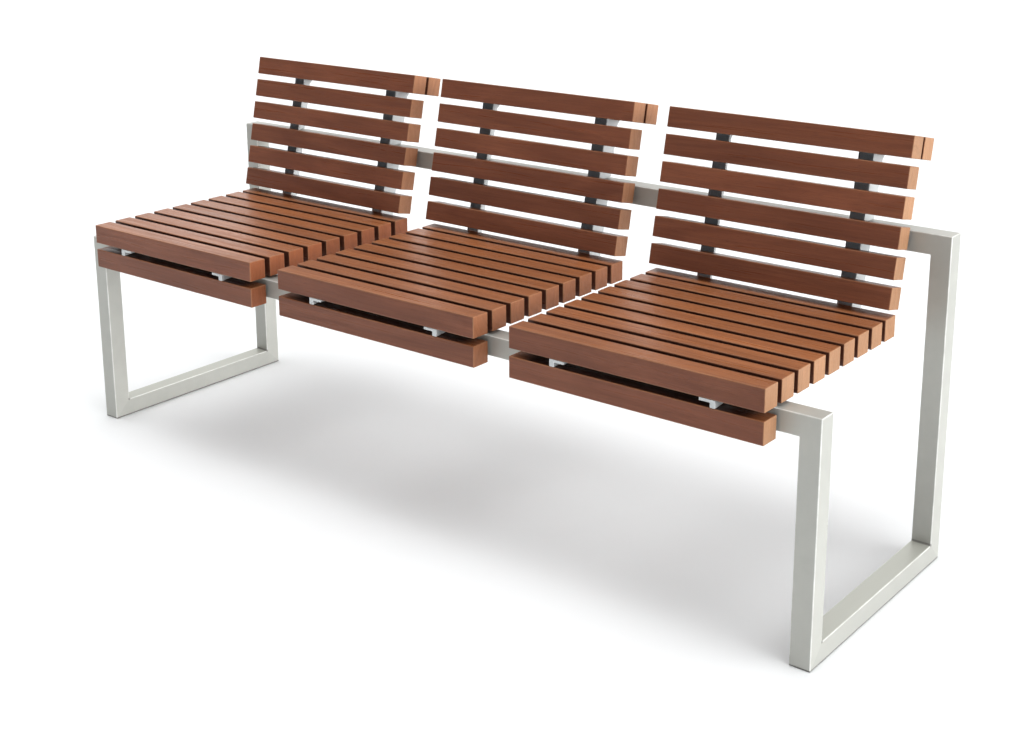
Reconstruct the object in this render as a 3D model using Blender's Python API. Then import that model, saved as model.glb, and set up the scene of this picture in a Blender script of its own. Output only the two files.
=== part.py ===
"""Three-seat slatted park bench: square slats on welded L-shaped brackets,
carried by one loop of mitred square tube.

Units are metres. X runs along the bench, Y runs from the front to the back, Z is up.
The bench stands on Z = 0, with the middle of its outline at the origin.
"""

import math

import bmesh
import bpy

# Overall sizes
FRAME_LENGTH = 1.800
SEAT_HEIGHT = 0.475
BACK_BEAM_TOP = 0.618
BACK_LEAN = math.radians(12.0)

# Square tube of the frame
TUBE_SIZE = 0.038
TUBE_EDGE_RADIUS = 0.0016
TUBE_EDGE_SEGMENTS = 2

# Slats, square in section
SLAT_SIZE = 0.040
SLAT_EDGE_RADIUS = 0.0014
SLAT_EDGE_SEGMENTS = 2
SEAT_SLAT_GAP = 0.0130
BACK_SLAT_GAP = 0.0132
APRON_GAP = 0.014
BACK_ROW_START = 0.048

# How the slats are grouped
SECTION_NAMES = ("left", "middle", "right")
SEAT_SLAT_COUNT = 9
BACK_SLAT_COUNT = 6
END_GAP = 0.036
SECTION_GAP = 0.079

# Brackets, an L in section
BRACKET_INSET = 0.087
FLANGE_WIDTH = 0.030
SEAT_FLANGE_THICKNESS = 0.005
BACK_FLANGE_THICKNESS = 0.007
BACK_FLANGE_RECESS = 0.005
WEB_THICKNESS = 0.010
WEB_DEPTH = 0.040
WEB_CORNER_CUT = 0.020
WEB_FLARE_RISE = 0.009
NOTCH_CLEARANCE = 0.002
TOE_ROOT_DROP = 0.005
STRAP_THICKNESS = 0.005
STRAP_RECESS = 0.004
BRACKET_EDGE_RADIUS = 0.0005

# Gap left between two pieces that rest on each other
CONTACT_GAP = 0.0003

# Places that follow from the sizes above, with Y = 0 on the front face of the front beam
SECTION_COUNT = len(SECTION_NAMES)
SLAT_ROW_LENGTH = FRAME_LENGTH - 2 * (TUBE_SIZE + END_GAP)
SLAT_LENGTH = (SLAT_ROW_LENGTH - (SECTION_COUNT - 1) * SECTION_GAP) / SECTION_COUNT
SEAT_PITCH = SLAT_SIZE + SEAT_SLAT_GAP
BACK_PITCH = SLAT_SIZE + BACK_SLAT_GAP

STRAP_BACK_Y = -CONTACT_GAP
STRAP_FRONT_Y = STRAP_BACK_Y - STRAP_THICKNESS
SEAT_FRONT_Y = STRAP_FRONT_Y - CONTACT_GAP - SLAT_SIZE
SEAT_BACK_Y = SEAT_FRONT_Y + (SEAT_SLAT_COUNT - 1) * SEAT_PITCH + SLAT_SIZE

SEAT_FLANGE_TOP = SEAT_HEIGHT - SLAT_SIZE - CONTACT_GAP
SEAT_FLANGE_UNDERSIDE = SEAT_FLANGE_TOP - SEAT_FLANGE_THICKNESS
FRONT_BEAM_TOP = SEAT_FLANGE_UNDERSIDE - CONTACT_GAP
APRON_TOP = SEAT_HEIGHT - SLAT_SIZE - APRON_GAP

BACK_FOOT_Y = SEAT_BACK_Y + CONTACT_GAP
BACK_ROW_TOP = BACK_ROW_START + (BACK_SLAT_COUNT - 1) * BACK_PITCH + SLAT_SIZE
REAR_SLAT_FRONT = BACK_FLANGE_THICKNESS + CONTACT_GAP
REAR_SLAT_BACK = REAR_SLAT_FRONT + SLAT_SIZE


def on_back(rise, depth):
    """Point (y, z) that lies rise up the leaning back and depth behind its flange's front face."""
    y = BACK_FOOT_Y + rise * math.sin(BACK_LEAN) + depth * math.cos(BACK_LEAN)
    z = SEAT_FLANGE_TOP + rise * math.cos(BACK_LEAN) - depth * math.sin(BACK_LEAN)
    return y, z


def on_back_at_height(height, depth):
    """Point (y, z) at a given height, depth behind the front face of the back flange."""
    rise = (height - SEAT_FLANGE_TOP + depth * math.sin(BACK_LEAN)) / math.cos(BACK_LEAN)
    return on_back(rise, depth)


BACK_BEAM_FRONT_Y = on_back_at_height(BACK_BEAM_TOP, BACK_FLANGE_THICKNESS)[0] + CONTACT_GAP
FRAME_DEPTH = BACK_BEAM_FRONT_Y + TUBE_SIZE
OUTLINE_BACK_Y = max(on_back(BACK_ROW_TOP, REAR_SLAT_BACK)[0], FRAME_DEPTH)
FRAME_Y = -(SEAT_FRONT_Y + OUTLINE_BACK_Y) / 2


def clear_scene():
    """Start from an empty scene."""
    for old_object in list(bpy.data.objects):
        bpy.data.objects.remove(old_object, do_unlink=True)


def new_material(name, colour, roughness, metallic):
    """Plain Principled BSDF material."""
    material = bpy.data.materials.new(name)
    material.use_nodes = True
    shader = material.node_tree.nodes["Principled BSDF"]
    shader.inputs["Base Color"].default_value = (*colour, 1.0)
    shader.inputs["Roughness"].default_value = roughness
    shader.inputs["Metallic"].default_value = metallic
    material.diffuse_color = (*colour, 1.0)
    return material


def seat_wood_material():
    return new_material("seat_hardwood", (0.40, 0.155, 0.075), 0.42, 0.0)


def apron_wood_material():
    return new_material("apron_hardwood", (0.34, 0.125, 0.062), 0.46, 0.0)


def back_wood_material():
    return new_material("back_hardwood", (0.36, 0.135, 0.066), 0.44, 0.0)


def frame_metal_material():
    return new_material("frame_painted_steel", (0.64, 0.64, 0.60), 0.38, 0.15)


def bracket_metal_material():
    return new_material("bracket_painted_steel", (0.60, 0.61, 0.62), 0.42, 0.15)


def add_edge_bevel(target, radius, segments):
    """Round every edge that turns by more than thirty degrees."""
    bevel = target.modifiers.new("eased_edges", "BEVEL")
    bevel.width = radius
    bevel.segments = segments
    bevel.limit_method = "ANGLE"
    bevel.angle_limit = math.radians(30.0)


def mesh_from_bmesh(name, shape, material):
    """Turn a bmesh into a mesh with outward faces and one material."""
    bmesh.ops.recalc_face_normals(shape, faces=shape.faces)
    mesh = bpy.data.meshes.new(name)
    shape.to_mesh(mesh)
    shape.free()
    mesh.materials.append(material)
    return mesh


def add_object(name, mesh, location, lean=0.0, parent=None):
    """Put an object into the scene, turned about X by the lean."""
    new_object = bpy.data.objects.new(name, mesh)
    bpy.context.scene.collection.objects.link(new_object)
    new_object.location = location
    new_object.rotation_euler = (lean, 0.0, 0.0)
    new_object.parent = parent
    return new_object


def frame_corner_rings():
    """Mitred corners of the tube loop, in order, each as four points.

    The order of the four is outer front, outer back, inner back, inner front,
    where outer and inner are the two ends of the mitre.
    """
    outer_x = FRAME_LENGTH / 2
    inner_x = outer_x - TUBE_SIZE
    near_y = (0.0, TUBE_SIZE)
    far_y = (FRAME_DEPTH, FRAME_DEPTH - TUBE_SIZE)

    def top_ring(side, first_y, second_y, beam_top):
        beam_underside = beam_top - TUBE_SIZE
        return [
            (side * outer_x, first_y, beam_top),
            (side * outer_x, second_y, beam_top),
            (side * inner_x, second_y, beam_underside),
            (side * inner_x, first_y, beam_underside),
        ]

    def floor_ring(side, outer_y, inner_y):
        return [
            (side * outer_x, outer_y, 0.0),
            (side * outer_x, inner_y, TUBE_SIZE),
            (side * inner_x, inner_y, TUBE_SIZE),
            (side * inner_x, outer_y, 0.0),
        ]

    return [
        top_ring(1, near_y[0], near_y[1], FRONT_BEAM_TOP),
        floor_ring(1, near_y[0], near_y[1]),
        floor_ring(1, far_y[0], far_y[1]),
        top_ring(1, far_y[0], far_y[1], BACK_BEAM_TOP),
        top_ring(-1, far_y[0], far_y[1], BACK_BEAM_TOP),
        floor_ring(-1, far_y[0], far_y[1]),
        floor_ring(-1, near_y[0], near_y[1]),
        top_ring(-1, near_y[0], near_y[1], FRONT_BEAM_TOP),
    ]


def add_welded_frame(material):
    """One closed loop of square tube that turns through all three directions.

    It runs front beam, right front post, right floor runner, right back post,
    back beam and down the left side again, with a mitre at each of its eight corners.
    """
    shape = bmesh.new()
    rings = []
    for points in frame_corner_rings():
        rings.append([shape.verts.new(point) for point in points])
    for index, ring in enumerate(rings):
        next_ring = rings[(index + 1) % len(rings)]
        for i in range(4):
            j = (i + 1) % 4
            shape.faces.new((ring[i], ring[j], next_ring[j], next_ring[i]))
    mesh = mesh_from_bmesh("welded_frame", shape, material)
    frame = add_object("welded_frame", mesh, (0.0, FRAME_Y, 0.0))
    add_edge_bevel(frame, TUBE_EDGE_RADIUS, TUBE_EDGE_SEGMENTS)
    return frame


def make_slat_mesh(name, material):
    """Straight square slat. Its origin is halfway along, in the middle of the mounting face."""
    shape = bmesh.new()
    bmesh.ops.create_cube(shape, size=1.0)
    bmesh.ops.scale(shape, vec=(SLAT_LENGTH, SLAT_SIZE, SLAT_SIZE), verts=shape.verts)
    bmesh.ops.translate(shape, vec=(0.0, 0.0, SLAT_SIZE / 2), verts=shape.verts)
    return mesh_from_bmesh(name, shape, material)


def add_slat(name, mesh, x, point, lean, parent):
    """Place one slat by the middle of its mounting face."""
    slat = add_object(name, mesh, (x, point[0], point[1]), lean, parent)
    add_edge_bevel(slat, SLAT_EDGE_RADIUS, SLAT_EDGE_SEGMENTS)
    return slat


def section_middle(index):
    """X of the middle of a section of slats."""
    return (index - (SECTION_COUNT - 1) / 2) * (SLAT_LENGTH + SECTION_GAP)


def add_seat_slats(section, x, mesh, parent):
    """Seat slats side by side, numbered from the front."""
    for index in range(SEAT_SLAT_COUNT):
        y = SEAT_FRONT_Y + index * SEAT_PITCH + SLAT_SIZE / 2
        name = f"seat_slat_{section}_{index + 1}"
        add_slat(name, mesh, x, (y, SEAT_HEIGHT - SLAT_SIZE), 0.0, parent)


def add_apron_slat(section, x, mesh, parent):
    """Slat on edge under the front of the seat, screwed to the straps behind it."""
    point = (SEAT_FRONT_Y + SLAT_SIZE, APRON_TOP - SLAT_SIZE / 2)
    add_slat(f"apron_slat_{section}", mesh, x, point, math.radians(90.0), parent)


def add_back_slats(section, x, mesh, parent):
    """Back slats on the front of the leaning flanges, numbered from the top."""
    for index in range(BACK_SLAT_COUNT):
        rise = BACK_ROW_TOP - index * BACK_PITCH - SLAT_SIZE / 2
        point = on_back(rise, -CONTACT_GAP)
        name = f"back_slat_{section}_{index + 1}"
        add_slat(name, mesh, x, point, math.radians(90.0) - BACK_LEAN, parent)


def add_rear_top_slat(section, x, mesh, parent):
    """Slat on the rear of the flanges, level with the top back slat."""
    point = on_back(BACK_ROW_TOP - SLAT_SIZE / 2, REAR_SLAT_FRONT)
    add_slat(f"rear_top_slat_{section}", mesh, x, point, -math.radians(90.0) - BACK_LEAN, parent)


def bracket_outlines():
    """Side outlines of a bracket as lists of (y, z) points.

    The first is the full-width part: seat flange, strap behind the apron and back flange.
    The others are the thin web, cut away where the two beams pass.
    """
    top = SEAT_FLANGE_TOP
    underside = SEAT_FLANGE_UNDERSIDE
    toe_bottom = APRON_TOP + CONTACT_GAP
    strap_bottom = APRON_TOP - SLAT_SIZE + STRAP_RECESS
    web_bottom = top - WEB_DEPTH

    toe_top = (SEAT_FRONT_Y, underside)
    strap_root = (STRAP_FRONT_Y, underside)
    toe_root = (STRAP_FRONT_Y, underside - TOE_ROOT_DROP)
    strap_rear_root = (STRAP_BACK_Y, underside)
    web_start = (TUBE_SIZE + NOTCH_CLEARANCE, underside)
    inner_corner = on_back_at_height(underside, BACK_FLANGE_THICKNESS)
    beam_touch = on_back_at_height(BACK_BEAM_TOP, BACK_FLANGE_THICKNESS)
    above_beam = on_back_at_height(BACK_BEAM_TOP + NOTCH_CLEARANCE, BACK_FLANGE_THICKNESS)
    web_end_rise = BACK_ROW_TOP - SLAT_SIZE - CONTACT_GAP
    web_end = on_back(web_end_rise, BACK_FLANGE_THICKNESS)
    flange_end_rise = BACK_ROW_TOP - BACK_FLANGE_RECESS

    full_width = [
        (SEAT_FRONT_Y, top),
        (BACK_FOOT_Y, top),
        on_back(flange_end_rise, 0.0),
        on_back(flange_end_rise, BACK_FLANGE_THICKNESS),
        web_end,
        above_beam,
        beam_touch,
        inner_corner,
        web_start,
        strap_rear_root,
        (STRAP_BACK_Y, strap_bottom),
        (STRAP_FRONT_Y, strap_bottom),
        toe_root,
        strap_root,
        toe_top,
    ]
    toe = [
        toe_top,
        strap_root,
        toe_root,
        (SEAT_FRONT_Y, toe_bottom),
    ]
    below_beam = BACK_BEAM_TOP - TUBE_SIZE - NOTCH_CLEARANCE
    outer_corner = on_back_at_height(web_bottom, WEB_DEPTH)
    up_y = WEB_CORNER_CUT * math.sin(BACK_LEAN)
    up_z = WEB_CORNER_CUT * math.cos(BACK_LEAN)
    lower_web = [
        web_start,
        inner_corner,
        beam_touch,
        (beam_touch[0], below_beam),
        on_back_at_height(below_beam, WEB_DEPTH),
        (outer_corner[0] + up_y, outer_corner[1] + up_z),
        (outer_corner[0] - WEB_CORNER_CUT, outer_corner[1]),
        (web_start[0] + WEB_CORNER_CUT, web_bottom),
        (web_start[0], web_bottom + WEB_CORNER_CUT),
    ]
    upper_web = [
        above_beam,
        web_end,
        on_back(web_end_rise, REAR_SLAT_BACK),
        on_back(web_end_rise - WEB_FLARE_RISE, WEB_DEPTH),
        on_back_at_height(BACK_BEAM_TOP + NOTCH_CLEARANCE, WEB_DEPTH),
    ]
    return full_width, [toe, lower_web, upper_web]


def extrude_along_x(shape, faces, distance):
    """Extrude flat faces along X and return the faces at the far end."""
    grown = bmesh.ops.extrude_face_region(shape, geom=faces)["geom"]
    moved_verts = [item for item in grown if isinstance(item, bmesh.types.BMVert)]
    bmesh.ops.translate(shape, vec=(distance, 0.0, 0.0), verts=moved_verts)
    return [item for item in grown if isinstance(item, bmesh.types.BMFace)]


def make_bracket_mesh(name, direction, material):
    """L-shaped bracket. Its web stands at X = 0 and its flange points along the direction.

    The origin is on the top front edge of the front beam, which carries it.
    """
    full_width, web_outlines = bracket_outlines()
    shape = bmesh.new()
    shared = {}

    def vertex(point):
        key = (round(point[0], 7), round(point[1], 7))
        if key not in shared:
            shared[key] = shape.verts.new((0.0, point[0], point[1] - FRONT_BEAM_TOP))
        return shared[key]

    wide_face = shape.faces.new([vertex(point) for point in full_width])
    side_faces = [wide_face]
    for outline in web_outlines:
        side_faces.append(shape.faces.new([vertex(point) for point in outline]))
    bmesh.ops.recalc_face_normals(shape, faces=shape.faces)

    far_faces = extrude_along_x(shape, side_faces, direction * WEB_THICKNESS)
    far_wide_face = max(far_faces, key=lambda face: len(face.verts))
    extrude_along_x(shape, [far_wide_face], direction * (FLANGE_WIDTH - WEB_THICKNESS))
    if far_wide_face.is_valid:
        bmesh.ops.delete(shape, geom=[far_wide_face], context="FACES_ONLY")
    return mesh_from_bmesh(name, shape, material)


def add_brackets(section, x, meshes, parent):
    """Two brackets under each section, with their webs on the outer sides."""
    half_span = SLAT_LENGTH / 2 - BRACKET_INSET
    for side, sign in (("left", -1), ("right", 1)):
        name = f"bracket_{section}_section_{side}"
        location = (x + sign * half_span, 0.0, FRONT_BEAM_TOP)
        bracket = add_object(name, meshes[side], location, 0.0, parent)
        add_edge_bevel(bracket, BRACKET_EDGE_RADIUS, 1)


def build():
    """Build the bench."""
    clear_scene()
    bracket_metal = bracket_metal_material()
    seat_mesh = make_slat_mesh("seat_slat", seat_wood_material())
    apron_mesh = make_slat_mesh("apron_slat", apron_wood_material())
    back_mesh = make_slat_mesh("back_slat", back_wood_material())
    bracket_meshes = {
        "left": make_bracket_mesh("bracket_left_hand", 1, bracket_metal),
        "right": make_bracket_mesh("bracket_right_hand", -1, bracket_metal),
    }
    frame = add_welded_frame(frame_metal_material())
    for index, section in enumerate(SECTION_NAMES):
        x = section_middle(index)
        add_brackets(section, x, bracket_meshes, frame)
        add_seat_slats(section, x, seat_mesh, frame)
        add_apron_slat(section, x, apron_mesh, frame)
        add_back_slats(section, x, back_mesh, frame)
        add_rear_top_slat(section, x, back_mesh, frame)


build()
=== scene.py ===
import math
import random

import bpy
from mathutils import Matrix, Vector


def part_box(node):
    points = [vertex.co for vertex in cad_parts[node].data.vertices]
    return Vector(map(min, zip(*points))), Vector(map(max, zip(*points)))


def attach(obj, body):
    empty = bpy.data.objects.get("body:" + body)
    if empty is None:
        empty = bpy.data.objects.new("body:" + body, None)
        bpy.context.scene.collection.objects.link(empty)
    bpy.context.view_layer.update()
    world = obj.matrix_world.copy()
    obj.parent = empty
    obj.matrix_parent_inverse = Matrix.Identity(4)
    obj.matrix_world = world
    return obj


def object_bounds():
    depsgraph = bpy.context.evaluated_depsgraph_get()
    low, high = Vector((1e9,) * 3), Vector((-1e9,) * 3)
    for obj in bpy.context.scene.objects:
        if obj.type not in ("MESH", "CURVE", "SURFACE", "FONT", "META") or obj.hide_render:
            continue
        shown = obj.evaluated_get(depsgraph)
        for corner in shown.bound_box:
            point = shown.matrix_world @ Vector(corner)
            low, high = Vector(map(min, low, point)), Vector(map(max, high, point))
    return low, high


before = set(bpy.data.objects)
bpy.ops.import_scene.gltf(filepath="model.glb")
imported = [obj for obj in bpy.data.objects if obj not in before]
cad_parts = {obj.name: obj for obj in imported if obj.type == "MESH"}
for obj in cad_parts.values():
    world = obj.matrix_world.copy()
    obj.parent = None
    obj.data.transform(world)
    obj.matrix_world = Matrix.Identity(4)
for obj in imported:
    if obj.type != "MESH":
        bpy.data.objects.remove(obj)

bl_info = {
    "name": "Slatted park bench",
    "version": (1, 0, 0),
    "blender": (4, 5, 0),
    "location": "3D View > Sidebar > Park Bench",
    "description": "Finishes and details for a park bench of timber slats on a welded steel frame",
    "category": "Object",
}

# The plain model's box, before any detail is added
CAD_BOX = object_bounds()

# Sizes that the bench shares with its plain model, in metres
SECTIONS = ("left", "middle", "right")
SECTION_MIDDLES = {"left": -0.577, "middle": 0.0, "right": 0.577}
SIDES = {"left": -1.0, "right": 1.0}
BACK_LEAN = math.radians(12.0)
SLAT_SIZE = 0.040
SLAT_PITCH_BACK = 0.0532
FIRST_BACK_RISE = 0.048
SEAT_FLANGE_THICKNESS = 0.005
BACK_FLANGE_THICKNESS = 0.007
BRACKET_WEB_OUTER = 0.162
WEB_THICKNESS = 0.010
FLANGE_WIDTH = 0.030
CONTACT_GAP = 0.0003
TUBE_SIZE = 0.038

# Pads: how far up the back they reach, and where their faces lie behind the flange's front face
PAD_LOW_RISE = 0.0405
PAD_HIGH_RISE = 0.3455
PAD_FRONT_DEPTH = -0.00022
PAD_REAR_DEPTH = 0.0016
PAD_BORDER = 0.0030
PAD_GROOVE = 0.0006
PAD_GROOVE_DEPTH = 0.00012
PAD_EDGE = 0.00010

# Screws: the seat slats and the steps up the back that they hold, and the facets of a head
SCREWED_SEAT_SLATS = range(3, 10)
SCREWED_BACK_STEPS = (0, 1, 3, 4)
SCREW_FACETS = 24

# Edges sharper than this stay sharp on the new pieces
SMOOTH_ANGLE = math.radians(30.0)

# Seeds of the random draws
SEAT_SEED = 11
BACK_SEED = 23
SCREW_SEED = 5

# Places read from the plain model
FRAME_LOW, FRAME_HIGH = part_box("welded_frame")
FLANGE_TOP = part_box("seat_slat_middle_1")[0].z - CONTACT_GAP
FLANGE_UNDERSIDE = FLANGE_TOP - SEAT_FLANGE_THICKNESS
BACK_FOOT_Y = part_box("seat_slat_middle_9")[1].y + CONTACT_GAP


def on_back(rise, depth):
    """Point (y, z) that lies rise up the leaning back and depth behind its flange's front face."""
    y = BACK_FOOT_Y + rise * math.sin(BACK_LEAN) + depth * math.cos(BACK_LEAN)
    z = FLANGE_TOP + rise * math.cos(BACK_LEAN) - depth * math.sin(BACK_LEAN)
    return y, z


class BenchWoodSettings(bpy.types.PropertyGroup):
    """Colours and grain of the timber slats."""

    dark_colour: bpy.props.FloatVectorProperty(
        name="Late wood", description="Colour of the dark bands of the grain",
        subtype="COLOR", size=3, min=0.0, max=1.0, default=(0.172, 0.055, 0.028))
    light_colour: bpy.props.FloatVectorProperty(
        name="Early wood", description="Colour of the light bands of the grain",
        subtype="COLOR", size=3, min=0.0, max=1.0, default=(0.216, 0.073, 0.037))
    end_colour: bpy.props.FloatVectorProperty(
        name="End grain", description="Colour of the sawn ends",
        subtype="COLOR", size=3, min=0.0, max=1.0, default=(0.400, 0.208, 0.109))
    # Painted shade: the darker sawn ends that face the next section
    shaded_inner_end_colour: bpy.props.FloatVectorProperty(
        name="Inner end grain", description="Colour of the sawn ends that face the next section",
        subtype="COLOR", size=3, min=0.0, max=1.0, default=(0.295, 0.092, 0.036))
    pore_colour: bpy.props.FloatVectorProperty(
        name="Pores", description="Colour of the open pores",
        subtype="COLOR", size=3, min=0.0, max=1.0, default=(0.085, 0.024, 0.014))
    # Painted shade on the faces inside the narrow gaps
    painted_gap_shade_colour: bpy.props.FloatVectorProperty(
        name="Grime", description="Colour of the damp grime on faces inside the narrow gaps",
        subtype="COLOR", size=3, min=0.0, max=1.0, default=(0.030, 0.008, 0.005))
    # Upward faces lighter: partly weathering, partly painted top light
    bleach_and_top_light: bpy.props.FloatVectorProperty(
        name="Bleaching",
        description="How much redder, greener and bluer the upward faces are than the rest",
        subtype="XYZ", size=3, min=0.0, max=3.0, default=(1.50, 1.61, 1.20))
    band_width: bpy.props.FloatProperty(
        name="Grain band", description="Usual width of one band of the grain",
        subtype="DISTANCE", unit="LENGTH", min=0.001, max=0.02, default=0.0042)
    tone_spread: bpy.props.FloatProperty(
        name="Tone spread", description="How much one slat differs from the next",
        subtype="FACTOR", min=0.0, max=0.5, default=0.10)
    roughness: bpy.props.FloatProperty(
        name="Roughness", description="Roughness of the oiled faces",
        subtype="FACTOR", min=0.0, max=1.0, default=0.36)


class BenchMetalSettings(bpy.types.PropertyGroup):
    """Colours and finish of the painted steel."""

    frame_colour: bpy.props.FloatVectorProperty(
        name="Frame paint", description="Colour of the painted tube",
        subtype="COLOR", size=3, min=0.0, max=1.0, default=(0.446, 0.449, 0.417))
    bracket_colour: bpy.props.FloatVectorProperty(
        name="Bracket paint", description="Colour of the painted brackets",
        subtype="COLOR", size=3, min=0.0, max=1.0, default=(0.560, 0.580, 0.588))
    roughness: bpy.props.FloatProperty(
        name="Paint roughness", description="Roughness of the satin paint",
        subtype="FACTOR", min=0.0, max=1.0, default=0.42)
    # Painted shade: the runners' sides darker than the posts'
    runner_side_shade: bpy.props.FloatProperty(
        name="Runner tone", description="How bright the floor runners' paint is beside the posts'",
        subtype="FACTOR", min=0.5, max=1.2, default=0.93)
    # Painted contact shadow at the ground and in the inner corners
    contact_shade_height: bpy.props.FloatProperty(
        name="Dirt height", description="How far dirt from the ground creeps up the runners",
        subtype="DISTANCE", unit="LENGTH", min=0.0005, max=0.01, default=0.0042)
    contact_shade_colour: bpy.props.FloatVectorProperty(
        name="Dirt", description="Colour of the dirt at the ground",
        subtype="COLOR", size=3, min=0.0, max=1.0, default=(0.070, 0.067, 0.058))
    dust_share: bpy.props.FloatProperty(
        name="Dust", description="How thickly dust lies on the runners' tops",
        subtype="FACTOR", min=0.0, max=1.0, default=0.40)
    dust_colour: bpy.props.FloatVectorProperty(
        name="Dust colour", description="Colour of the dust on the runners' tops",
        subtype="COLOR", size=3, min=0.0, max=1.0, default=(0.452, 0.470, 0.405))


class BenchFittingSettings(bpy.types.PropertyGroup):
    """Sizes and colours of the small fittings."""

    screw_head_width: bpy.props.FloatProperty(
        name="Screw head", description="Diameter of a screw's button head",
        subtype="DISTANCE", unit="LENGTH", min=0.004, max=0.014, default=0.0095)
    screw_head_height: bpy.props.FloatProperty(
        name="Head height", description="Height of a screw's button head",
        subtype="DISTANCE", unit="LENGTH", min=0.001, max=0.006, default=0.0028)
    screw_socket_width: bpy.props.FloatProperty(
        name="Socket", description="Width of the six-sided socket in the head",
        subtype="DISTANCE", unit="LENGTH", min=0.001, max=0.006, default=0.0034)
    screw_colour: bpy.props.FloatVectorProperty(
        name="Screw steel", description="Colour of the stainless screws",
        subtype="COLOR", size=3, min=0.0, max=1.0, default=(0.56, 0.55, 0.53))
    strip_width: bpy.props.FloatProperty(
        name="Pad width", description="Width of the dark pad on a back flange",
        subtype="DISTANCE", unit="LENGTH", min=0.01, max=0.0296, default=0.0276)
    # Lighter than the dark rubber, as painted light for the shaded gaps between the back slats
    pad_colour_with_painted_light: bpy.props.FloatVectorProperty(
        name="Pad colour", description="Colour of the dark pad",
        subtype="COLOR", size=3, min=0.0, max=1.0, default=(0.380, 0.460, 0.520))


class BenchStageSettings(bpy.types.PropertyGroup):
    """Floor, light and camera."""

    floor_colour: bpy.props.FloatVectorProperty(
        name="Floor", description="Colour of the plain floor",
        subtype="COLOR", size=3, min=0.0, max=1.0, default=(0.841, 0.858, 0.872))
    sky_strength: bpy.props.FloatProperty(
        name="Fill light", description="Brightness of the even light from all round",
        min=0.0, max=5.0, default=0.125)
    key_strength: bpy.props.FloatProperty(
        name="Key light", description="Brightness of the broad soft light from the right",
        min=0.0, max=20.0, default=8.7)
    top_strength: bpy.props.FloatProperty(
        name="Top light", description="Brightness of each of the two soft lights from above",
        min=0.0, max=60.0, default=5.5)
    back_strength: bpy.props.FloatProperty(
        name="Back light", description="Brightness of the broad soft light from behind",
        min=0.0, max=10.0, default=1.44)
    focal_length: bpy.props.FloatProperty(
        name="Focal length", description="Focal length of the camera on a 36 mm sensor",
        subtype="DISTANCE_CAMERA", min=20.0, max=200.0, default=52.37)


def deselect_all():
    """Leave object mode clean, with nothing selected and nothing active."""
    if bpy.context.object and bpy.context.object.mode != "OBJECT":
        bpy.ops.object.mode_set(mode="OBJECT")
    bpy.ops.object.select_all(action="DESELECT")
    bpy.context.view_layer.objects.active = None


def make_active(thing):
    """Select one object alone and make it active."""
    deselect_all()
    thing.select_set(True)
    bpy.context.view_layer.objects.active = thing


def add_block(name, centre, size):
    """Start a piece from a cube primitive of the given size, with its place in its mesh."""
    deselect_all()
    bpy.ops.mesh.primitive_cube_add(size=1.0, location=centre)
    block = bpy.context.object
    block.name = name
    block.data.name = name
    block.scale = size
    bpy.ops.object.transform_apply(location=True, rotation=True, scale=True)
    return block


def select_in_edit_mode(thing, kind, test):
    """Enter edit mode and select the edges or faces that pass the test."""
    make_active(thing)
    bpy.ops.object.mode_set(mode="EDIT")
    bpy.ops.mesh.select_mode(type=kind)
    bpy.ops.mesh.select_all(action="DESELECT")
    bpy.ops.object.mode_set(mode="OBJECT")
    mesh = thing.data
    found = [item for item in (mesh.edges if kind == "EDGE" else mesh.polygons) if test(mesh, item)]
    if not found:
        raise RuntimeError(f"nothing to select on {thing.name}")
    for item in found:
        item.select = True
    bpy.ops.object.mode_set(mode="EDIT")


def leave_edit_mode():
    """Go back to object mode."""
    bpy.ops.object.mode_set(mode="OBJECT")


def copy_of(thing, name, place):
    """Copy an object with a mesh of its own, and move that mesh to its place."""
    twin = thing.copy()
    twin.data = thing.data.copy()
    twin.name = name
    twin.data.name = name
    bpy.context.scene.collection.objects.link(twin)
    twin.data.transform(place)
    return twin


def join_as(name, things):
    """Join several objects into one piece."""
    deselect_all()
    for thing in things:
        thing.select_set(True)
    bpy.context.view_layer.objects.active = things[0]
    bpy.ops.object.join()
    joined = bpy.context.object
    joined.name = name
    joined.data.name = name
    return joined


def finish_piece(piece, material):
    """Smooth a new piece, give it its material and let it ride on the bench."""
    make_active(piece)
    bpy.ops.object.shade_smooth_by_angle(angle=SMOOTH_ANGLE)
    piece.data.materials.clear()
    piece.data.materials.append(material)
    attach(piece, "root")


def set_node_material(node, material):
    """Give a plain node a better material in every slot of its object."""
    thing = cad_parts[node]
    for slot in thing.material_slots:
        slot.link = "OBJECT"
        slot.material = material


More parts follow.
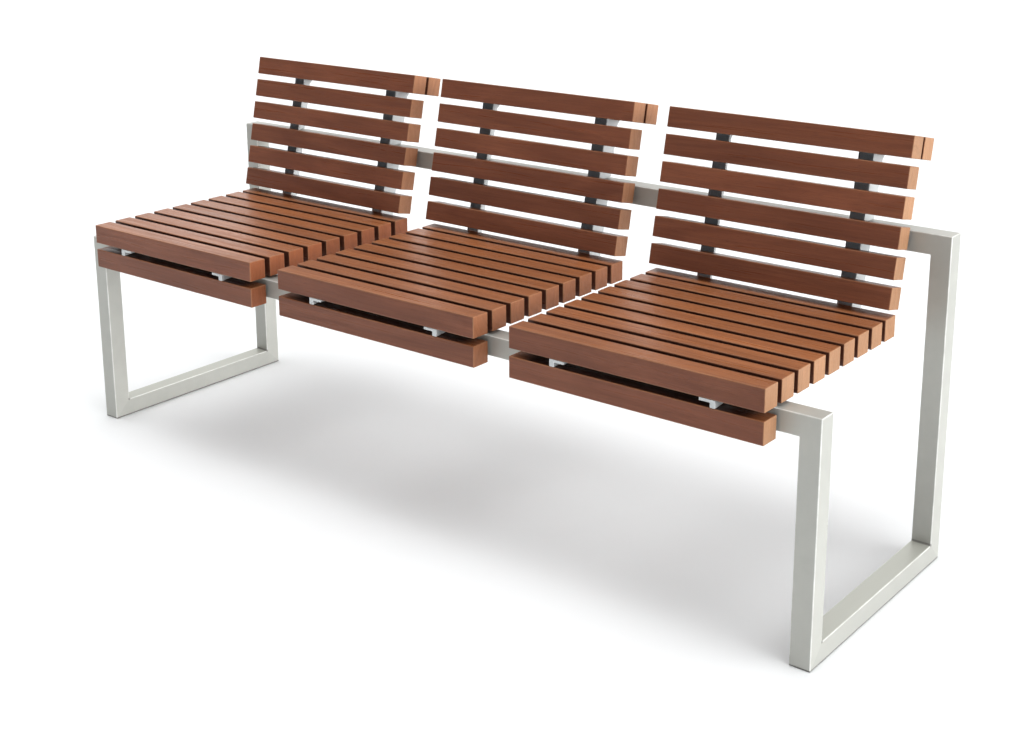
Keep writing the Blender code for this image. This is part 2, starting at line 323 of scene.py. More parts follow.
class Recipe:
    """Adds shader nodes to a tree and joins them."""

    def __init__(self, tree):
        self.tree = tree

    def add(self, kind, inputs=None, **settings):
        """Add a node with these inputs and settings."""
        node = self.tree.nodes.new(kind)
        for key, value in settings.items():
            setattr(node, key, value)
        for key, value in (inputs or {}).items():
            self.join(value, node.inputs[key])
        return node

    def join(self, value, socket):
        """Link a socket to another, or set it to a value."""
        if isinstance(value, bpy.types.NodeSocket):
            self.tree.links.new(value, socket)
        else:
            socket.default_value = value

    def reckon(self, operation, *values):
        """Result of one operation on numbers."""
        node = self.add("ShaderNodeMath", operation=operation)
        for index, value in enumerate(values):
            self.join(value, node.inputs[index])
        return node.outputs[0]

    def times(self, first, *others):
        """Product of numbers."""
        for other in others:
            first = self.reckon("MULTIPLY", first, other)
        return first

    def plus(self, first, *others):
        """Sum of numbers."""
        for other in others:
            first = self.reckon("ADD", first, other)
        return first

    def vector(self, operation, *values):
        """Result of one operation on vectors."""
        node = self.add("ShaderNodeVectorMath", operation=operation)
        for index, value in enumerate(values):
            self.join(value, node.inputs[index])
        return node.outputs["Value" if operation in ("LENGTH", "DOT_PRODUCT") else "Vector"]

    def noise(self, place, stretch, detail, roughness=0.5, output="Fac"):
        """Noise pattern on a place that is first stretched, evenly or by a factor for each axis."""
        if isinstance(stretch, float):
            stretch = (stretch, stretch, stretch)
        node = self.add("ShaderNodeTexNoise", {
            "Vector": self.vector("MULTIPLY", place, stretch),
            "Scale": 1.0, "Detail": detail, "Roughness": roughness})
        return node.outputs[output]

    def span(self, value, low, high, to_low=0.0, to_high=1.0, curve="SMOOTHSTEP"):
        """Number that goes smoothly from to_low to to_high as value goes from low to high."""
        node = self.add("ShaderNodeMapRange", {
            "Value": value, "From Min": low, "From Max": high, "To Min": to_low, "To Max": to_high})
        node.interpolation_type = curve
        return node.outputs["Result"]

    def ramp(self, value, low, high, to_low, to_high):
        """The same in a straight line."""
        return self.span(value, low, high, to_low, to_high, "LINEAR")

    def mix(self, share, first, second, blend="MIX"):
        """Mix of two colours."""
        node = self.add("ShaderNodeMix", data_type="RGBA", blend_type=blend)
        self.join(share, node.inputs[0])
        for value, socket in ((first, node.inputs[6]), (second, node.inputs[7])):
            if not isinstance(value, bpy.types.NodeSocket) and len(value) == 3:
                value = (*value, 1.0)
            self.join(value, socket)
        return node.outputs[2]

    def shaded(self, colour, light):
        """Colour made lighter or darker by a number."""
        return self.mix(1.0, colour, self.place(light, light, light), "MULTIPLY")

    def parts(self, place):
        """The three parts of a vector."""
        node = self.add("ShaderNodeSeparateXYZ", {"Vector": place})
        return node.outputs[0], node.outputs[1], node.outputs[2]

    def place(self, x, y, z):
        """Vector of three parts."""
        node = self.add("ShaderNodeCombineXYZ")
        for index, value in enumerate((x, y, z)):
            self.join(value, node.inputs[index])
        return node.outputs[0]

    def facing(self, kind="True Normal"):
        """Direction in which the surface faces."""
        return self.add("ShaderNodeNewGeometry").outputs[kind]

    def relief(self, shader, strength, distance, height):
        """Give a shader a fine relief."""
        node = self.add(
            "ShaderNodeBump", {"Strength": strength, "Distance": distance, "Height": height})
        self.join(node.outputs["Normal"], shader.inputs["Normal"])


def new_material(name):
    """Material with a Principled shader, its recipe, the shader and object coordinates."""
    material = bpy.data.materials.new(name)
    material.use_nodes = True
    tree = material.node_tree
    tree.nodes.clear()
    recipe = Recipe(tree)
    output = recipe.add("ShaderNodeOutputMaterial")
    shader = recipe.add("ShaderNodeBsdfPrincipled")
    tree.links.new(shader.outputs["BSDF"], output.inputs["Surface"])
    here = recipe.add("ShaderNodeTexCoord").outputs["Object"]
    return material, recipe, shader, here


# Timber patterns, in repeats per metre along the grain and across it
WANDER_STRETCH = (2.2, 14.0, 14.0)
FIBRE_STRETCH = (9.0, 620.0, 620.0)
PORE_STRETCH = (55.0, 1500.0, 1500.0)
STREAK_STRETCH = (3.0, 170.0, 170.0)
BLOTCH_STRETCH = (5.0, 26.0, 26.0)
DOT_STRETCH = (1.0, 2100.0, 2100.0)
SAW_STRETCH = (1.0, 900.0, 60.0)

# How the grain wanders in the log and runs out of a slat's face, in metres
WANDER_WIDTH = 0.020
GRAIN_SLOPE = 0.035
HEART_ALONG = 3.0
HEART_AWAY = (0.07, 0.16)
HEART_ASIDE = 0.035

# Where rubbed arrises and the painted gap shade start and are full, in metres in from a slat's
# faces
ARRIS_START = 0.0026
ARRIS_FULL = 0.0004
PAINTED_GAP_SHADE_START = 0.0011
PAINTED_GAP_SHADE_FULL = 0.0024

# How much painted shade the inner ends of the slats keep, and how much less on the middle section
SEAT_INNER_SHADE_SHARE = 1.0
BACK_INNER_SHADE_SHARE = 0.45
MIDDLE_SHADE_SHARE = 0.72
OILED_WOOD_IOR = 1.36

# What the timber is told about a slat's surroundings, for its painted shade: narrow gaps, and ends
# beside a section
SURROUNDINGS = ("Gap Front", "Gap Behind", "Gap Above", "Inner Left", "Inner Right")


def hardwood_group(settings):
    """Node group that holds the timber: growth bands, fibres, pores, sawn ends and worn edges.

    Place is in metres from the middle of a slat, with X along the grain. Heart says where the
    slat lay in its log, and Tone makes a slat lighter or darker.
    """
    group = bpy.data.node_groups.new("hardwood", "ShaderNodeTree")
    for way, kind, names in (
            ("INPUT", "Vector", ("Place", "Heart")),
            ("INPUT", "Float", ("Tone", "Half Length") + SURROUNDINGS),
            ("OUTPUT", "Color", ("Colour",)),
            ("OUTPUT", "Float", ("Roughness", "Height"))):
        for name in names:
            group.interface.new_socket(name, in_out=way, socket_type="NodeSocket" + kind)
    recipe = Recipe(group)
    given = group.nodes.new("NodeGroupInput").outputs
    result = group.nodes.new("NodeGroupOutput").inputs
    place = given["Place"]
    along, across, upward = recipe.parts(place)
    slat_tone = recipe.plus(given["Tone"], 1.0)

    # Where this point lay in the log, wandering a little along the slat
    moved = recipe.vector("ADD", place, given["Heart"])
    wander = recipe.noise(moved, WANDER_STRETCH, 2.0, output="Color")
    wander = recipe.vector("SUBTRACT", wander, (0.5, 0.5, 0.5))
    wander = recipe.vector("MULTIPLY", wander, (0.0, WANDER_WIDTH, WANDER_WIDTH))
    moved = recipe.vector("ADD", moved, wander)
    log_x, log_y, log_z = recipe.parts(moved)
    log_y = recipe.reckon("MULTIPLY_ADD", log_x, GRAIN_SLOPE, log_y)
    ring = recipe.vector("LENGTH", recipe.place(0.0, log_y, log_z))

    # Growth bands of uneven width
    band_place = recipe.place(
        recipe.times(ring, 1.0 / settings.band_width),
        recipe.times(log_x, 1.6),
        recipe.times(recipe.plus(across, upward), 6.0))
    bands = recipe.span(recipe.noise(band_place, (0.62, 1.0, 1.0), 3.0, 0.62), 0.30, 0.70)

    # Fine fibres and open pores that run along the grain
    fibres = recipe.noise(moved, FIBRE_STRETCH, 4.0, 0.6)
    pores = recipe.span(recipe.noise(moved, PORE_STRETCH, 1.0), 0.60, 0.72)
    streak = recipe.noise(moved, STREAK_STRETCH, 3.0, 0.55)
    blotch = recipe.noise(moved, BLOTCH_STRETCH, 2.0)
    lightness = recipe.times(
        recipe.ramp(fibres, 0.25, 0.75, 0.86, 1.14),
        recipe.ramp(streak, 0.30, 0.70, 0.92, 1.08),
        recipe.ramp(blotch, 0.25, 0.75, 0.88, 1.12),
        slat_tone)
    colour = recipe.mix(bands, settings.dark_colour, settings.light_colour)
    colour = recipe.shaded(colour, lightness)
    colour = recipe.mix(recipe.times(pores, 0.45), colour, settings.pore_colour)

    # Faces that look up, lighter and warmer: partly whitened by sun and use, partly painted top
    # light
    upright = recipe.parts(recipe.facing("Normal"))[2]
    bleached_and_lit = recipe.mix(1.0, colour, settings.bleach_and_top_light, "MULTIPLY")
    colour = recipe.mix(recipe.span(upright, 0.55, 0.95), colour, bleached_and_lit)

    # Sawn ends, paler, with the bands showing as streaks and the pores as dots
    reach = recipe.reckon("SUBTRACT", recipe.reckon("ABSOLUTE", along), given["Half Length"])
    end_face = recipe.span(reach, -0.0011, -0.0003)
    dots = recipe.noise(place, DOT_STRETCH, 1.0)
    saw = recipe.noise(place, SAW_STRETCH, 3.0, 0.6)
    end_light = recipe.times(
        recipe.ramp(bands, 0.0, 1.0, 0.90, 1.08),
        recipe.ramp(saw, 0.25, 0.75, 0.90, 1.10),
        recipe.ramp(dots, 0.35, 0.75, 1.05, 0.84),
        slat_tone)
    # Sawn ends that face the next section keep a darker painted shade
    at_right = recipe.reckon("GREATER_THAN", along, 0.0)
    turned = recipe.reckon("SUBTRACT", given["Inner Right"], given["Inner Left"])
    inner = recipe.reckon("MULTIPLY_ADD", at_right, turned, given["Inner Left"])
    end_colour = recipe.mix(inner, settings.end_colour, settings.shaded_inner_end_colour)
    colour = recipe.mix(end_face, colour, recipe.shaded(end_colour, end_light))

    # Arrises rubbed paler by hands and weather
    half = SLAT_SIZE / 2
    side_edge, top_edge = (
        recipe.span(recipe.reckon("ABSOLUTE", part), half - ARRIS_START, half - ARRIS_FULL)
        for part in (across, upward))
    end_edge = recipe.span(reach, -0.0030, -0.0006)
    rim = recipe.times(recipe.reckon("MAXIMUM", side_edge, top_edge), end_edge)
    worn = recipe.reckon("MAXIMUM", recipe.times(side_edge, top_edge), rim)
    worn = recipe.times(worn, recipe.ramp(blotch, 0.35, 0.65, 0.12, 0.46))
    colour = recipe.mix(worn, colour, settings.end_colour)

    # Painted shade darkens the faces that look into a narrow gap, and the aprons' tops under the
    # seat, less so near the open ends
    flat_y, flat_z = recipe.parts(recipe.facing())[1:]
    in_front = recipe.times(recipe.span(flat_y, -0.90, -0.96), given["Gap Front"])
    behind = recipe.times(recipe.span(flat_y, 0.90, 0.96), given["Gap Behind"])
    above = recipe.times(
        recipe.span(flat_z, 0.90, 0.99), given["Gap Above"],
        recipe.span(reach, -0.045, -0.010, 1.0, 0.05))
    painted_gap_shade = recipe.times(
        recipe.reckon("MAXIMUM", in_front, behind),
        recipe.span(upward, half - PAINTED_GAP_SHADE_START, half - PAINTED_GAP_SHADE_FULL),
        recipe.span(reach, -0.030, -0.001, 1.0, 0.75))
    painted_gap_shade = recipe.times(
        recipe.reckon("MAXIMUM", painted_gap_shade, above), recipe.ramp(blotch, 0.3, 0.7, 0.86, 0.96))
    recipe.join(recipe.mix(painted_gap_shade, colour, settings.painted_gap_shade_colour), result["Colour"])

    rough = recipe.plus(
        recipe.ramp(fibres, 0.25, 0.75, settings.roughness - 0.05, settings.roughness + 0.05),
        recipe.ramp(streak, 0.30, 0.70, 0.12, -0.12),
        recipe.times(pores, 0.12),
        recipe.times(end_face, 0.22))
    recipe.join(rough, result["Roughness"])

    height = recipe.plus(recipe.times(bands, 0.35), recipe.times(fibres, 0.55))
    height = recipe.reckon("SUBTRACT", height, recipe.times(pores, 0.55))
    recipe.join(recipe.plus(height, recipe.times(saw, end_face, 0.6)), result["Height"])
    return group


def hardwood_material(name, settings, group, middle, lean, half_length, surroundings, draw):
    """Timber of one slat. Each slat is cut from its own place in the log.

    Surroundings are the values for SURROUNDINGS: 0 or 1 for each narrow gap, and how far the left
    and right ends keep the painted shade of ends that face another section.
    """
    material, recipe, shader, here = new_material(name)
    local = recipe.add("ShaderNodeMapping", {"Vector": here}, vector_type="TEXTURE")
    local.inputs["Location"].default_value = middle
    local.inputs["Rotation"].default_value = (-lean, 0.0, 0.0)
    timber = recipe.add("ShaderNodeGroup", node_tree=group)
    recipe.join(local.outputs["Vector"], timber.inputs["Place"])
    half_of_log = draw.choice((-1.0, 1.0))
    timber.inputs["Heart"].default_value = (
        draw.uniform(-HEART_ALONG, HEART_ALONG), half_of_log * draw.uniform(*HEART_AWAY),
        draw.uniform(-HEART_ASIDE, HEART_ASIDE))
    timber.inputs["Tone"].default_value = draw.uniform(-1.0, 1.0) * settings.tone_spread
    timber.inputs["Half Length"].default_value = half_length
    for key, value in zip(SURROUNDINGS, surroundings):
        timber.inputs[key].default_value = value
    recipe.join(timber.outputs["Colour"], shader.inputs["Base Color"])
    recipe.join(timber.outputs["Roughness"], shader.inputs["Roughness"])
    recipe.relief(shader, 0.45, 0.0005, timber.outputs["Height"])
    shader.inputs["IOR"].default_value = OILED_WOOD_IOR
    return material


def finish_slats(nodes, lean, seed, gaps_of, inner_shade_share):
    """Give each of these slats timber of its own.

    gaps_of gives the narrow gaps round a slat, and inner_shade_share how much painted shade its
    inner ends keep.
    """
    settings = bpy.context.scene.bench_wood
    group = bpy.data.node_groups.get("hardwood") or hardwood_group(settings)
    draw = random.Random(seed)
    for node in nodes:
        low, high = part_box(node)
        inner = (
            0.0 if "_left" in node else inner_shade_share,
            0.0 if "_right" in node else inner_shade_share * (MIDDLE_SHADE_SHARE if "_middle" in node else 1.0))
        material = hardwood_material(
            node + "_timber", settings, group, (low + high) / 2, lean, (high.x - low.x) / 2,
            gaps_of(node) + inner, draw)
        set_node_material(node, material)


class BENCH_OT_seat_slats(bpy.types.Operator):
    """Give the seat slats and the aprons below them their oiled timber"""

    bl_idname = "bench.seat_slats"
    bl_label = "Seat slats"

    def execute(self, context):
        seat = [f"seat_slat_{section}_{step}" for section in SECTIONS for step in range(1, 10)]
        aprons = [f"apron_slat_{section}" for section in SECTIONS]

        def gaps_of(node):
            if node in aprons:
                return 0.0, 1.0, 1.0
            return float(not node.endswith("_1")), float(not node.endswith("_9")), 0.0

        finish_slats(seat + aprons, 0.0, SEAT_SEED, gaps_of, SEAT_INNER_SHADE_SHARE)
        return {"FINISHED"}


class BENCH_OT_back_slats(bpy.types.Operator):
    """Give the leaning back slats and the rear top slats their oiled timber"""

    bl_idname = "bench.back_slats"
    bl_label = "Back slats"

    def execute(self, context):
        back = [f"back_slat_{section}_{step}" for section in SECTIONS for step in range(1, 7)]
        rear = [f"rear_top_slat_{section}" for section in SECTIONS]

        def gaps_of(node):
            return float(node in rear), 0.0, 0.0

        finish_slats(back + rear, BACK_LEAN, BACK_SEED, gaps_of, BACK_INNER_SHADE_SHARE)
        return {"FINISHED"}


# Paint patterns, in repeats per metre
CLOUD_STRETCH = 3.1
MOTTLE_STRETCH = 38.0
SPECK_STRETCH = 240.0
PEBBLE_STRETCH = 900.0

# Paint: colour of rounded edges, partly rubbed and partly a painted highlight, how far that shows,
# and how the shader takes the light
RUBBED_PAINT_AND_HIGHLIGHT = (0.86, 0.86, 0.84)
FRAME_RUB_AND_HIGHLIGHT_SHARE = 0.75
BRACKET_RUB_AND_HIGHLIGHT_SHARE = 0.4
PAINT_METALLIC = 0.25
PAINT_IOR = 1.50

# Painted contact shadow: full at this share of its height, and this thick in the inner corners
CONTACT_SHADE_FULL_SHARE = 0.3
CORNER_CONTACT_SHADE = 0.8


def tube_dust_and_shade(recipe, here, colour, rough, mottle):
    """Tones of the frame alone: painted shade on the runners' sides, dust on their tops, and a
    painted contact shadow.

    The runners reach as far as their mitres. The painted contact shadow lies at the ground and in
    the inner corners.
    """
    settings = bpy.context.scene.bench_metal
    deep, high = recipe.parts(here)[1:]
    from_front = recipe.reckon("SUBTRACT", deep, FRAME_LOW.y)
    from_rear = recipe.reckon("SUBTRACT", FRAME_HIGH.y, deep)
    inside = recipe.reckon("SUBTRACT", recipe.reckon("MINIMUM", from_front, from_rear), high)
    runner = recipe.span(inside, -0.0005, 0.0005)
    on_top = recipe.span(recipe.parts(recipe.facing())[2], 0.5, 0.8)
    # Painted shade on the runners' sides
    beside = recipe.times(runner, recipe.reckon("SUBTRACT", 1.0, on_top))
    colour = recipe.shaded(colour, recipe.ramp(beside, 0.0, 1.0, 1.0, settings.runner_side_shade))
    dust = recipe.times(runner, on_top, settings.dust_share)
    colour = recipe.mix(dust, colour, settings.dust_colour)

    # Painted contact shadow where the runners meet the ground and in the inner corners
    reach = (FRAME_HIGH.y - FRAME_LOW.y) / 2
    off_middle = recipe.reckon("ABSOLUTE", recipe.reckon("SUBTRACT", deep, FRAME_LOW.y + reach))
    off_corner = recipe.place(
        0.0, recipe.reckon("SUBTRACT", off_middle, reach - TUBE_SIZE),
        recipe.reckon("SUBTRACT", high, TUBE_SIZE))
    corner = recipe.vector("LENGTH", off_corner)
    start = settings.contact_shade_height
    full = start * CONTACT_SHADE_FULL_SHARE
    contact_shade = recipe.reckon(
        "MAXIMUM", recipe.span(high, start, full),
        recipe.span(corner, start, full, 0.0, CORNER_CONTACT_SHADE))
    contact_shade = recipe.times(contact_shade, recipe.ramp(mottle, 0.25, 0.75, 0.70, 0.95))
    colour = recipe.mix(contact_shade, colour, settings.contact_shade_colour)
    return colour, recipe.plus(rough, recipe.times(contact_shade, 0.3))


def paint_material(name, paint, rub_and_highlight_share, tube=False):
    """Satin paint over steel, with a fine pebble, soft mottling and paler rounded edges, partly
    rubbed and partly a painted highlight.
    """
    material, recipe, shader, here = new_material(name)
    roughness = bpy.context.scene.bench_metal.roughness
    cloud = recipe.noise(here, CLOUD_STRETCH, 3.0)
    mottle = recipe.noise(here, MOTTLE_STRETCH, 3.0, 0.55)
    pebble = recipe.noise(here, PEBBLE_STRETCH, 2.0)
    specks = recipe.noise(here, SPECK_STRETCH, 4.0, 0.7)
    light = recipe.times(
        recipe.ramp(cloud, 0.3, 0.7, 0.95, 1.05),
        recipe.ramp(mottle, 0.25, 0.75, 0.965, 1.035),
        recipe.span(specks, 0.60, 0.80, 1.0, 0.93))
    colour = recipe.shaded(paint, light)
    rough = recipe.ramp(mottle, 0.25, 0.75, roughness - 0.06, roughness + 0.06)

    # Rounded edges paler and smoother: partly rubbed paint, partly a painted highlight
    square_x, square_y, square_z = recipe.parts(recipe.vector("ABSOLUTE", recipe.facing()))
    square = recipe.reckon("MAXIMUM", recipe.reckon("MAXIMUM", square_x, square_y), square_z)
    edge = recipe.times(
        recipe.span(square, 0.995, 0.94), recipe.span(mottle, 0.3, 0.7, 0.55, 1.0))
    colour = recipe.mix(recipe.times(edge, rub_and_highlight_share), colour, RUBBED_PAINT_AND_HIGHLIGHT)
    rough = recipe.times(rough, recipe.span(edge, 0.0, 1.0, 1.0, 0.75))
    if tube:
        colour, rough = tube_dust_and_shade(recipe, here, colour, rough, mottle)
    recipe.join(colour, shader.inputs["Base Color"])
    recipe.join(rough, shader.inputs["Roughness"])
    height = recipe.plus(recipe.times(pebble, 0.6), recipe.times(mottle, 0.4))
    recipe.relief(shader, 0.25, 0.0003, height)
    shader.inputs["Metallic"].default_value = PAINT_METALLIC
    shader.inputs["IOR"].default_value = PAINT_IOR
    return material


class BENCH_OT_frame(bpy.types.Operator):
    """Give the welded tube frame its paint"""

    bl_idname = "bench.frame"
    bl_label = "Welded frame"

    def execute(self, context):
        colour = context.scene.bench_metal.frame_colour
        material = paint_material("frame_satin_paint", colour, FRAME_RUB_AND_HIGHLIGHT_SHARE, tube=True)
        set_node_material("welded_frame", material)
        return {"FINISHED"}


class BENCH_OT_brackets(bpy.types.Operator):
    """Give the six slat brackets their paint"""

    bl_idname = "bench.brackets"
    bl_label = "Slat brackets"

    def execute(self, context):
        colour = context.scene.bench_metal.bracket_colour
        material = paint_material("bracket_satin_paint", colour, BRACKET_RUB_AND_HIGHLIGHT_SHARE)
        for section in SECTIONS:
            for side in SIDES:
                set_node_material(f"bracket_{section}_section_{side}", material)
        return {"FINISHED"}


# Patterns of the pads and screws, in repeats per metre
PAD_GRAIN_STRETCH = 700.0
PAD_DUST_STRETCH = 60.0
STEEL_PATCH_STRETCH = 300.0
STEEL_BRUSH_STRETCH = 2600.0


def pad_material():
    """Dull rubber with a fine grain and a little dust, its colour lighter than the dark rubber as
    painted light for the shaded gaps.
    """
    material, recipe, shader, here = new_material("pad_rubber")
    rubber = bpy.context.scene.bench_fittings.pad_colour_with_painted_light
    grain = recipe.noise(here, PAD_GRAIN_STRETCH, 3.0, 0.6)
    dust = recipe.noise(here, PAD_DUST_STRETCH, 3.0, 0.6)
    colour = recipe.shaded(rubber, recipe.ramp(grain, 0.25, 0.75, 0.8, 1.2))
    dusty = [0.8 * part for part in rubber]
    colour = recipe.mix(recipe.span(dust, 0.35, 0.75, 0.0, 0.35), colour, dusty)
    recipe.join(colour, shader.inputs["Base Color"])
    recipe.join(recipe.ramp(dust, 0.3, 0.7, 0.50, 0.68), shader.inputs["Roughness"])
    recipe.relief(shader, 0.35, 0.0003, grain)
    return material


class BENCH_OT_pads(bpy.types.Operator):
    """Lay the dark pads on the front faces of the back flanges"""

    bl_idname = "bench.pads"
    bl_label = "Back pads"

    def execute(self, context):
        length = PAD_HIGH_RISE - PAD_LOW_RISE
        size = (context.scene.bench_fittings.strip_width, PAD_REAR_DEPTH - PAD_FRONT_DEPTH, length)
        pad = add_block("pad_pattern", (0.0, 0.0, 0.0), size)

        def front_face(mesh, face):
            return face.normal.y < -0.9

        def long_front_edge(mesh, edge):
            first, second = (mesh.vertices[index].co for index in edge.vertices)
            return max(first.y, second.y) < 0.0 and abs(first.z - second.z) > length / 2

        select_in_edit_mode(pad, "FACE", front_face)
        bpy.ops.mesh.inset(thickness=PAD_BORDER, depth=0.0)
        bpy.ops.mesh.inset(thickness=PAD_GROOVE, depth=-PAD_GROOVE_DEPTH)
        leave_edit_mode()
        select_in_edit_mode(pad, "EDGE", long_front_edge)
        bpy.ops.mesh.bevel(offset=PAD_EDGE, segments=2, affect="EDGES")
        leave_edit_mode()

        material = pad_material()
        middle_y, middle_z = on_back(
            (PAD_LOW_RISE + PAD_HIGH_RISE) / 2, (PAD_FRONT_DEPTH + PAD_REAR_DEPTH) / 2)
        lean = Matrix.Rotation(-BACK_LEAN, 4, "X")
        for section in SECTIONS:
            for side, sign in SIDES.items():
                x = SECTION_MIDDLES[section] + sign * (BRACKET_WEB_OUTER - FLANGE_WIDTH / 2)
                place = Matrix.Translation((x, middle_y, middle_z)) @ lean
                piece = copy_of(pad, f"back_pad_{section}_section_{side}", place)
                finish_piece(piece, material)
        bpy.data.objects.remove(pad)
        return {"FINISHED"}


def screw_material():
    """Stainless steel, brushed a little by turning, dulled in patches."""
    material, recipe, shader, here = new_material("screw_steel")
    patch = recipe.noise(here, STEEL_PATCH_STRETCH, 3.0, 0.6)
    brush = recipe.noise(here, STEEL_BRUSH_STRETCH, 2.0)
    steel = bpy.context.scene.bench_fittings.screw_colour
    colour = recipe.shaded(steel, recipe.ramp(patch, 0.25, 0.75, 0.82, 1.10))
    recipe.join(colour, shader.inputs["Base Color"])
    recipe.join(recipe.ramp(patch, 0.3, 0.7, 0.26, 0.46), shader.inputs["Roughness"])
    recipe.relief(shader, 0.2, 0.0001, brush)
    shader.inputs["Metallic"].default_value = 1.0
    return material


def add_rod(name, facets, radius, length, middle_z):
    """Start a screw's head or its socket from a cylinder primitive."""
    deselect_all()
    bpy.ops.mesh.primitive_cylinder_add(
        vertices=facets, radius=radius, depth=length, location=(0.0, 0.0, middle_z),
        end_fill_type="NGON")
    rod = bpy.context.object
    rod.name = name
    bpy.ops.object.transform_apply(location=True, rotation=True, scale=True)
    return rod


def make_screw(settings):
    """One button-head screw: seat at Z = 0, head hanging down, with a six-sided socket."""
    height = settings.screw_head_height
    radius = settings.screw_head_width / 2
    screw = add_rod("screw_pattern", SCREW_FACETS, radius, height, -height / 2)

    def outer_rim(mesh, edge):
        return all(mesh.vertices[index].co.z < -height * 0.9 for index in edge.vertices)

    select_in_edit_mode(screw, "EDGE", outer_rim)
    bpy.ops.mesh.bevel(offset=height * 0.55, segments=3, affect="EDGES")
    leave_edit_mode()
    socket = add_rod("screw_socket", 6, settings.screw_socket_width / 2, height * 1.2, -height)
    make_active(screw)
    cut = screw.modifiers.new("socket", "BOOLEAN")
    cut.operation = "DIFFERENCE"
    cut.solver = "EXACT"
    cut.object = socket
    bpy.ops.object.modifier_apply(modifier=cut.name)
    bpy.data.objects.remove(socket)
    return screw


class BENCH_OT_screws(bpy.types.Operator):
    """Drive the slats' screws, from under the seat flanges and from behind the back flanges"""

    bl_idname = "bench.screws"
    bl_label = "Slat screws"

    def execute(self, context):
        material = screw_material()
        screw = make_screw(context.scene.bench_fittings)
        spots = []
        for step in SCREWED_SEAT_SLATS:
            low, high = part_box(f"seat_slat_middle_{step}")
            spots.append(((low.y + high.y) / 2, FLANGE_UNDERSIDE, 0.0))
        for step in SCREWED_BACK_STEPS:
            rise = FIRST_BACK_RISE + step * SLAT_PITCH_BACK + SLAT_SIZE / 2
            spots.append((*on_back(rise, BACK_FLANGE_THICKNESS), math.radians(90.0) - BACK_LEAN))
        draw = random.Random(SCREW_SEED)
        off_middle = BRACKET_WEB_OUTER - WEB_THICKNESS - (FLANGE_WIDTH - WEB_THICKNESS) / 2
        for section in SECTIONS:
            for side, sign in SIDES.items():
                x = SECTION_MIDDLES[section] + sign * off_middle
                copies = []
                for number, (y, z, turn) in enumerate(spots):
                    place = (
                        Matrix.Translation((x, y, z)) @ Matrix.Rotation(turn, 4, "X")
                        @ Matrix.Rotation(draw.uniform(0.0, math.tau), 4, "Z"))
                    copies.append(copy_of(screw, f"screw_{section}_{side}_{number}", place))
                finish_piece(join_as(f"slat_screws_{section}_section_{side}", copies), material)
        bpy.data.objects.remove(screw)
        return {"FINISHED"}


# Camera of the photograph, with the sensor's width in millimetres
CAMERA_PLACE = Vector((1.84821, FRAME_LOW.y - 1.94966, 1.27486))
CAMERA_PITCH = math.radians(14.101)
CAMERA_YAW = math.radians(-38.447)
CAMERA_ROLL = math.radians(-0.237)
CAMERA_SHIFT = -0.15137
SENSOR_WIDTH = 36.0


def add_camera(settings):
    """Camera at the photograph's viewing angle."""
    forward = Vector((
        math.sin(CAMERA_YAW) * math.cos(CAMERA_PITCH),
        math.cos(CAMERA_YAW) * math.cos(CAMERA_PITCH),
        -math.sin(CAMERA_PITCH)))
    level = Vector((math.cos(CAMERA_YAW), -math.sin(CAMERA_YAW), 0.0))
    upright = level.cross(forward)
    right = math.cos(CAMERA_ROLL) * level + math.sin(CAMERA_ROLL) * upright
    up = math.cos(CAMERA_ROLL) * upright - math.sin(CAMERA_ROLL) * level
    data = bpy.data.cameras.new("photo_camera")
    camera = bpy.data.objects.new("photo_camera", data)
    bpy.context.scene.collection.objects.link(camera)
    turn = Matrix((right, up, -forward)).transposed()
    camera.matrix_world = Matrix.Translation(CAMERA_PLACE) @ turn.to_4x4()
    data.sensor_width = SENSOR_WIDTH
    data.lens = settings.focal_length
    data.shift_y = CAMERA_SHIFT
    data.clip_start, data.clip_end = 0.05, 200.0
    bpy.context.scene.camera = camera


# Floor, in metres, and its faint unevenness, in repeats per metre
FLOOR_SIZE = 120.0
FLOOR_DROP = 0.0002
FLOOR_STRETCH = 6.0

# Soft glows of the studio: where each comes from, its strength setting, and how tight it is
GLOWS = (
    ((0.975, 0.10, 0.02), "key_strength", 6.0),
    ((0.19, -0.11, 0.97), "top_strength", 30.0),
    ((-0.24, -0.11, 0.96), "top_strength", 30.0),
    ((-0.62, 0.74, 0.26), "back_strength", 2.0),
)
BACKDROP_BRIGHTNESS = 1.02
LIGHT_COLOUR = (1.0, 0.998, 0.990, 1.0)


def add_floor(settings):
    """Wide plain floor at the height the bench stands on."""
    deselect_all()
    bpy.ops.mesh.primitive_plane_add(
        size=FLOOR_SIZE, location=(0.0, 0.0, CAD_BOX[0].z - FLOOR_DROP))
    floor = bpy.context.object
    floor.name = "studio_floor"
    material, recipe, shader, here = new_material("studio_floor_paper")
    tone = recipe.ramp(recipe.noise(here, FLOOR_STRETCH, 2.0), 0.3, 0.7, 0.995, 1.005)
    recipe.join(recipe.shaded(settings.floor_colour, tone), shader.inputs["Base Color"])
    shader.inputs["Roughness"].default_value = 0.9
    shader.inputs["Specular IOR Level"].default_value = 0.1
    floor.data.materials.append(material)


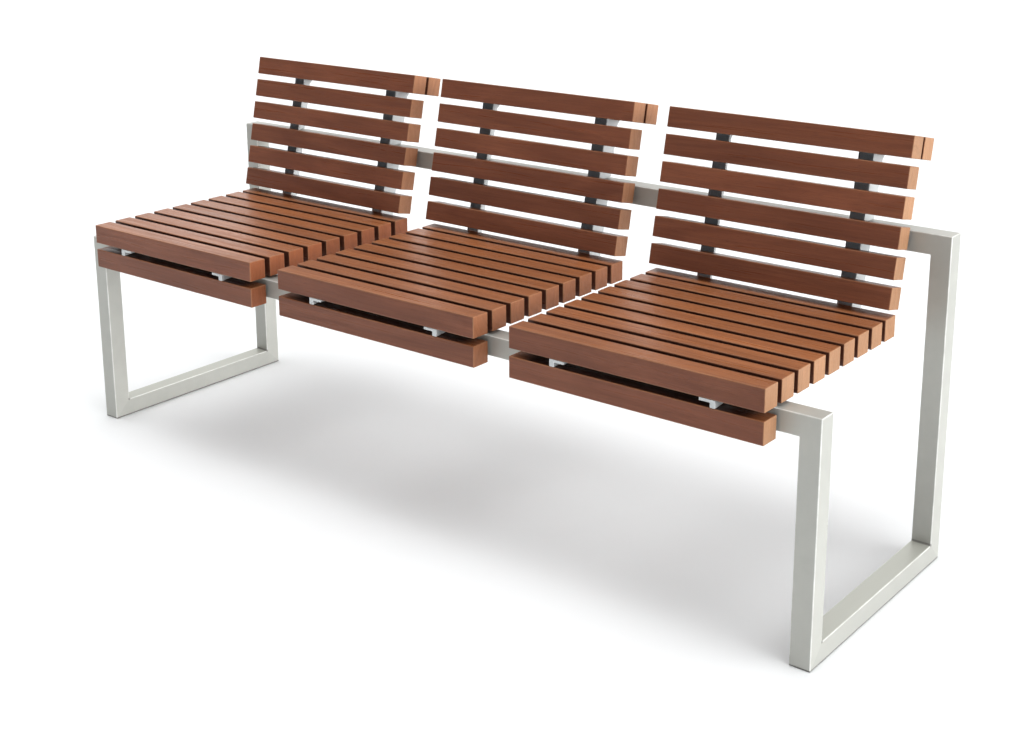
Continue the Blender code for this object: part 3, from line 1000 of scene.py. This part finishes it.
def add_light(settings):
    """Even light from all round, with soft glows from the right, from above and from behind."""
    world = bpy.data.worlds.new("studio_light")
    bpy.context.scene.world = world
    world.use_nodes = True
    tree = world.node_tree
    tree.nodes.clear()
    recipe = Recipe(tree)
    output = recipe.add("ShaderNodeOutputWorld")
    direction = recipe.vector("NORMALIZE", recipe.add("ShaderNodeTexCoord").outputs["Generated"])
    light = settings.sky_strength
    for aim, strength, focus in GLOWS:
        facing = recipe.vector("DOT_PRODUCT", direction, Vector(aim).normalized())
        glow = recipe.reckon("POWER", recipe.reckon("MAXIMUM", facing, 0.0), focus)
        light = recipe.plus(recipe.times(glow, getattr(settings, strength)), light)
    # The camera sees an even backdrop in place of the light itself
    seen = recipe.add("ShaderNodeLightPath").outputs["Is Camera Ray"]
    backdrop = recipe.reckon("SUBTRACT", BACKDROP_BRIGHTNESS, light)
    shown = recipe.reckon("MULTIPLY_ADD", seen, backdrop, light)
    background = recipe.add("ShaderNodeBackground", {"Color": LIGHT_COLOUR})
    recipe.join(shown, background.inputs["Strength"])
    tree.links.new(background.outputs[0], output.inputs["Surface"])


class BENCH_OT_stage(bpy.types.Operator):
    """Set up the pale floor, the soft light and the camera"""

    bl_idname = "bench.stage"
    bl_label = "Floor, light and camera"

    def execute(self, context):
        settings = context.scene.bench_stage
        add_floor(settings)
        add_light(settings)
        add_camera(settings)
        context.scene.view_settings.view_transform = "Standard"
        context.scene.view_settings.look = "None"
        return {"FINISHED"}


class BENCH_PT_panel(bpy.types.Panel):
    """Buttons for each group of pieces"""

    bl_idname = "BENCH_PT_panel"
    bl_label = "Slatted park bench"
    bl_space_type = "VIEW_3D"
    bl_region_type = "UI"
    bl_category = "Park Bench"

    def draw(self, context):
        for kind in OPERATORS:
            self.layout.operator(kind.bl_idname)
        for name in SETTINGS:
            box = self.layout.box()
            group = getattr(context.scene, name)
            for key in group.__annotations__:
                box.prop(group, key)


OPERATORS = (
    BENCH_OT_seat_slats,
    BENCH_OT_back_slats,
    BENCH_OT_frame,
    BENCH_OT_brackets,
    BENCH_OT_pads,
    BENCH_OT_screws,
    BENCH_OT_stage,
)
SETTINGS = {
    "bench_wood": BenchWoodSettings,
    "bench_metal": BenchMetalSettings,
    "bench_fittings": BenchFittingSettings,
    "bench_stage": BenchStageSettings,
}


def register():
    """Register the settings, the operators and the panel."""
    for name, kind in SETTINGS.items():
        bpy.utils.register_class(kind)
        setattr(bpy.types.Scene, name, bpy.props.PointerProperty(type=kind))
    for kind in OPERATORS + (BENCH_PT_panel,):
        bpy.utils.register_class(kind)


def unregister():
    """Take all of them away again."""
    for kind in reversed(OPERATORS + (BENCH_PT_panel,)):
        bpy.utils.unregister_class(kind)
    for name, kind in reversed(list(SETTINGS.items())):
        delattr(bpy.types.Scene, name)
        bpy.utils.unregister_class(kind)


def main():
    """Make the bench."""
    register()
    for kind in OPERATORS:
        group, action = kind.bl_idname.split(".")
        getattr(getattr(bpy.ops, group), action)()
    deselect_all()


if __name__ == "__main__":
    main()
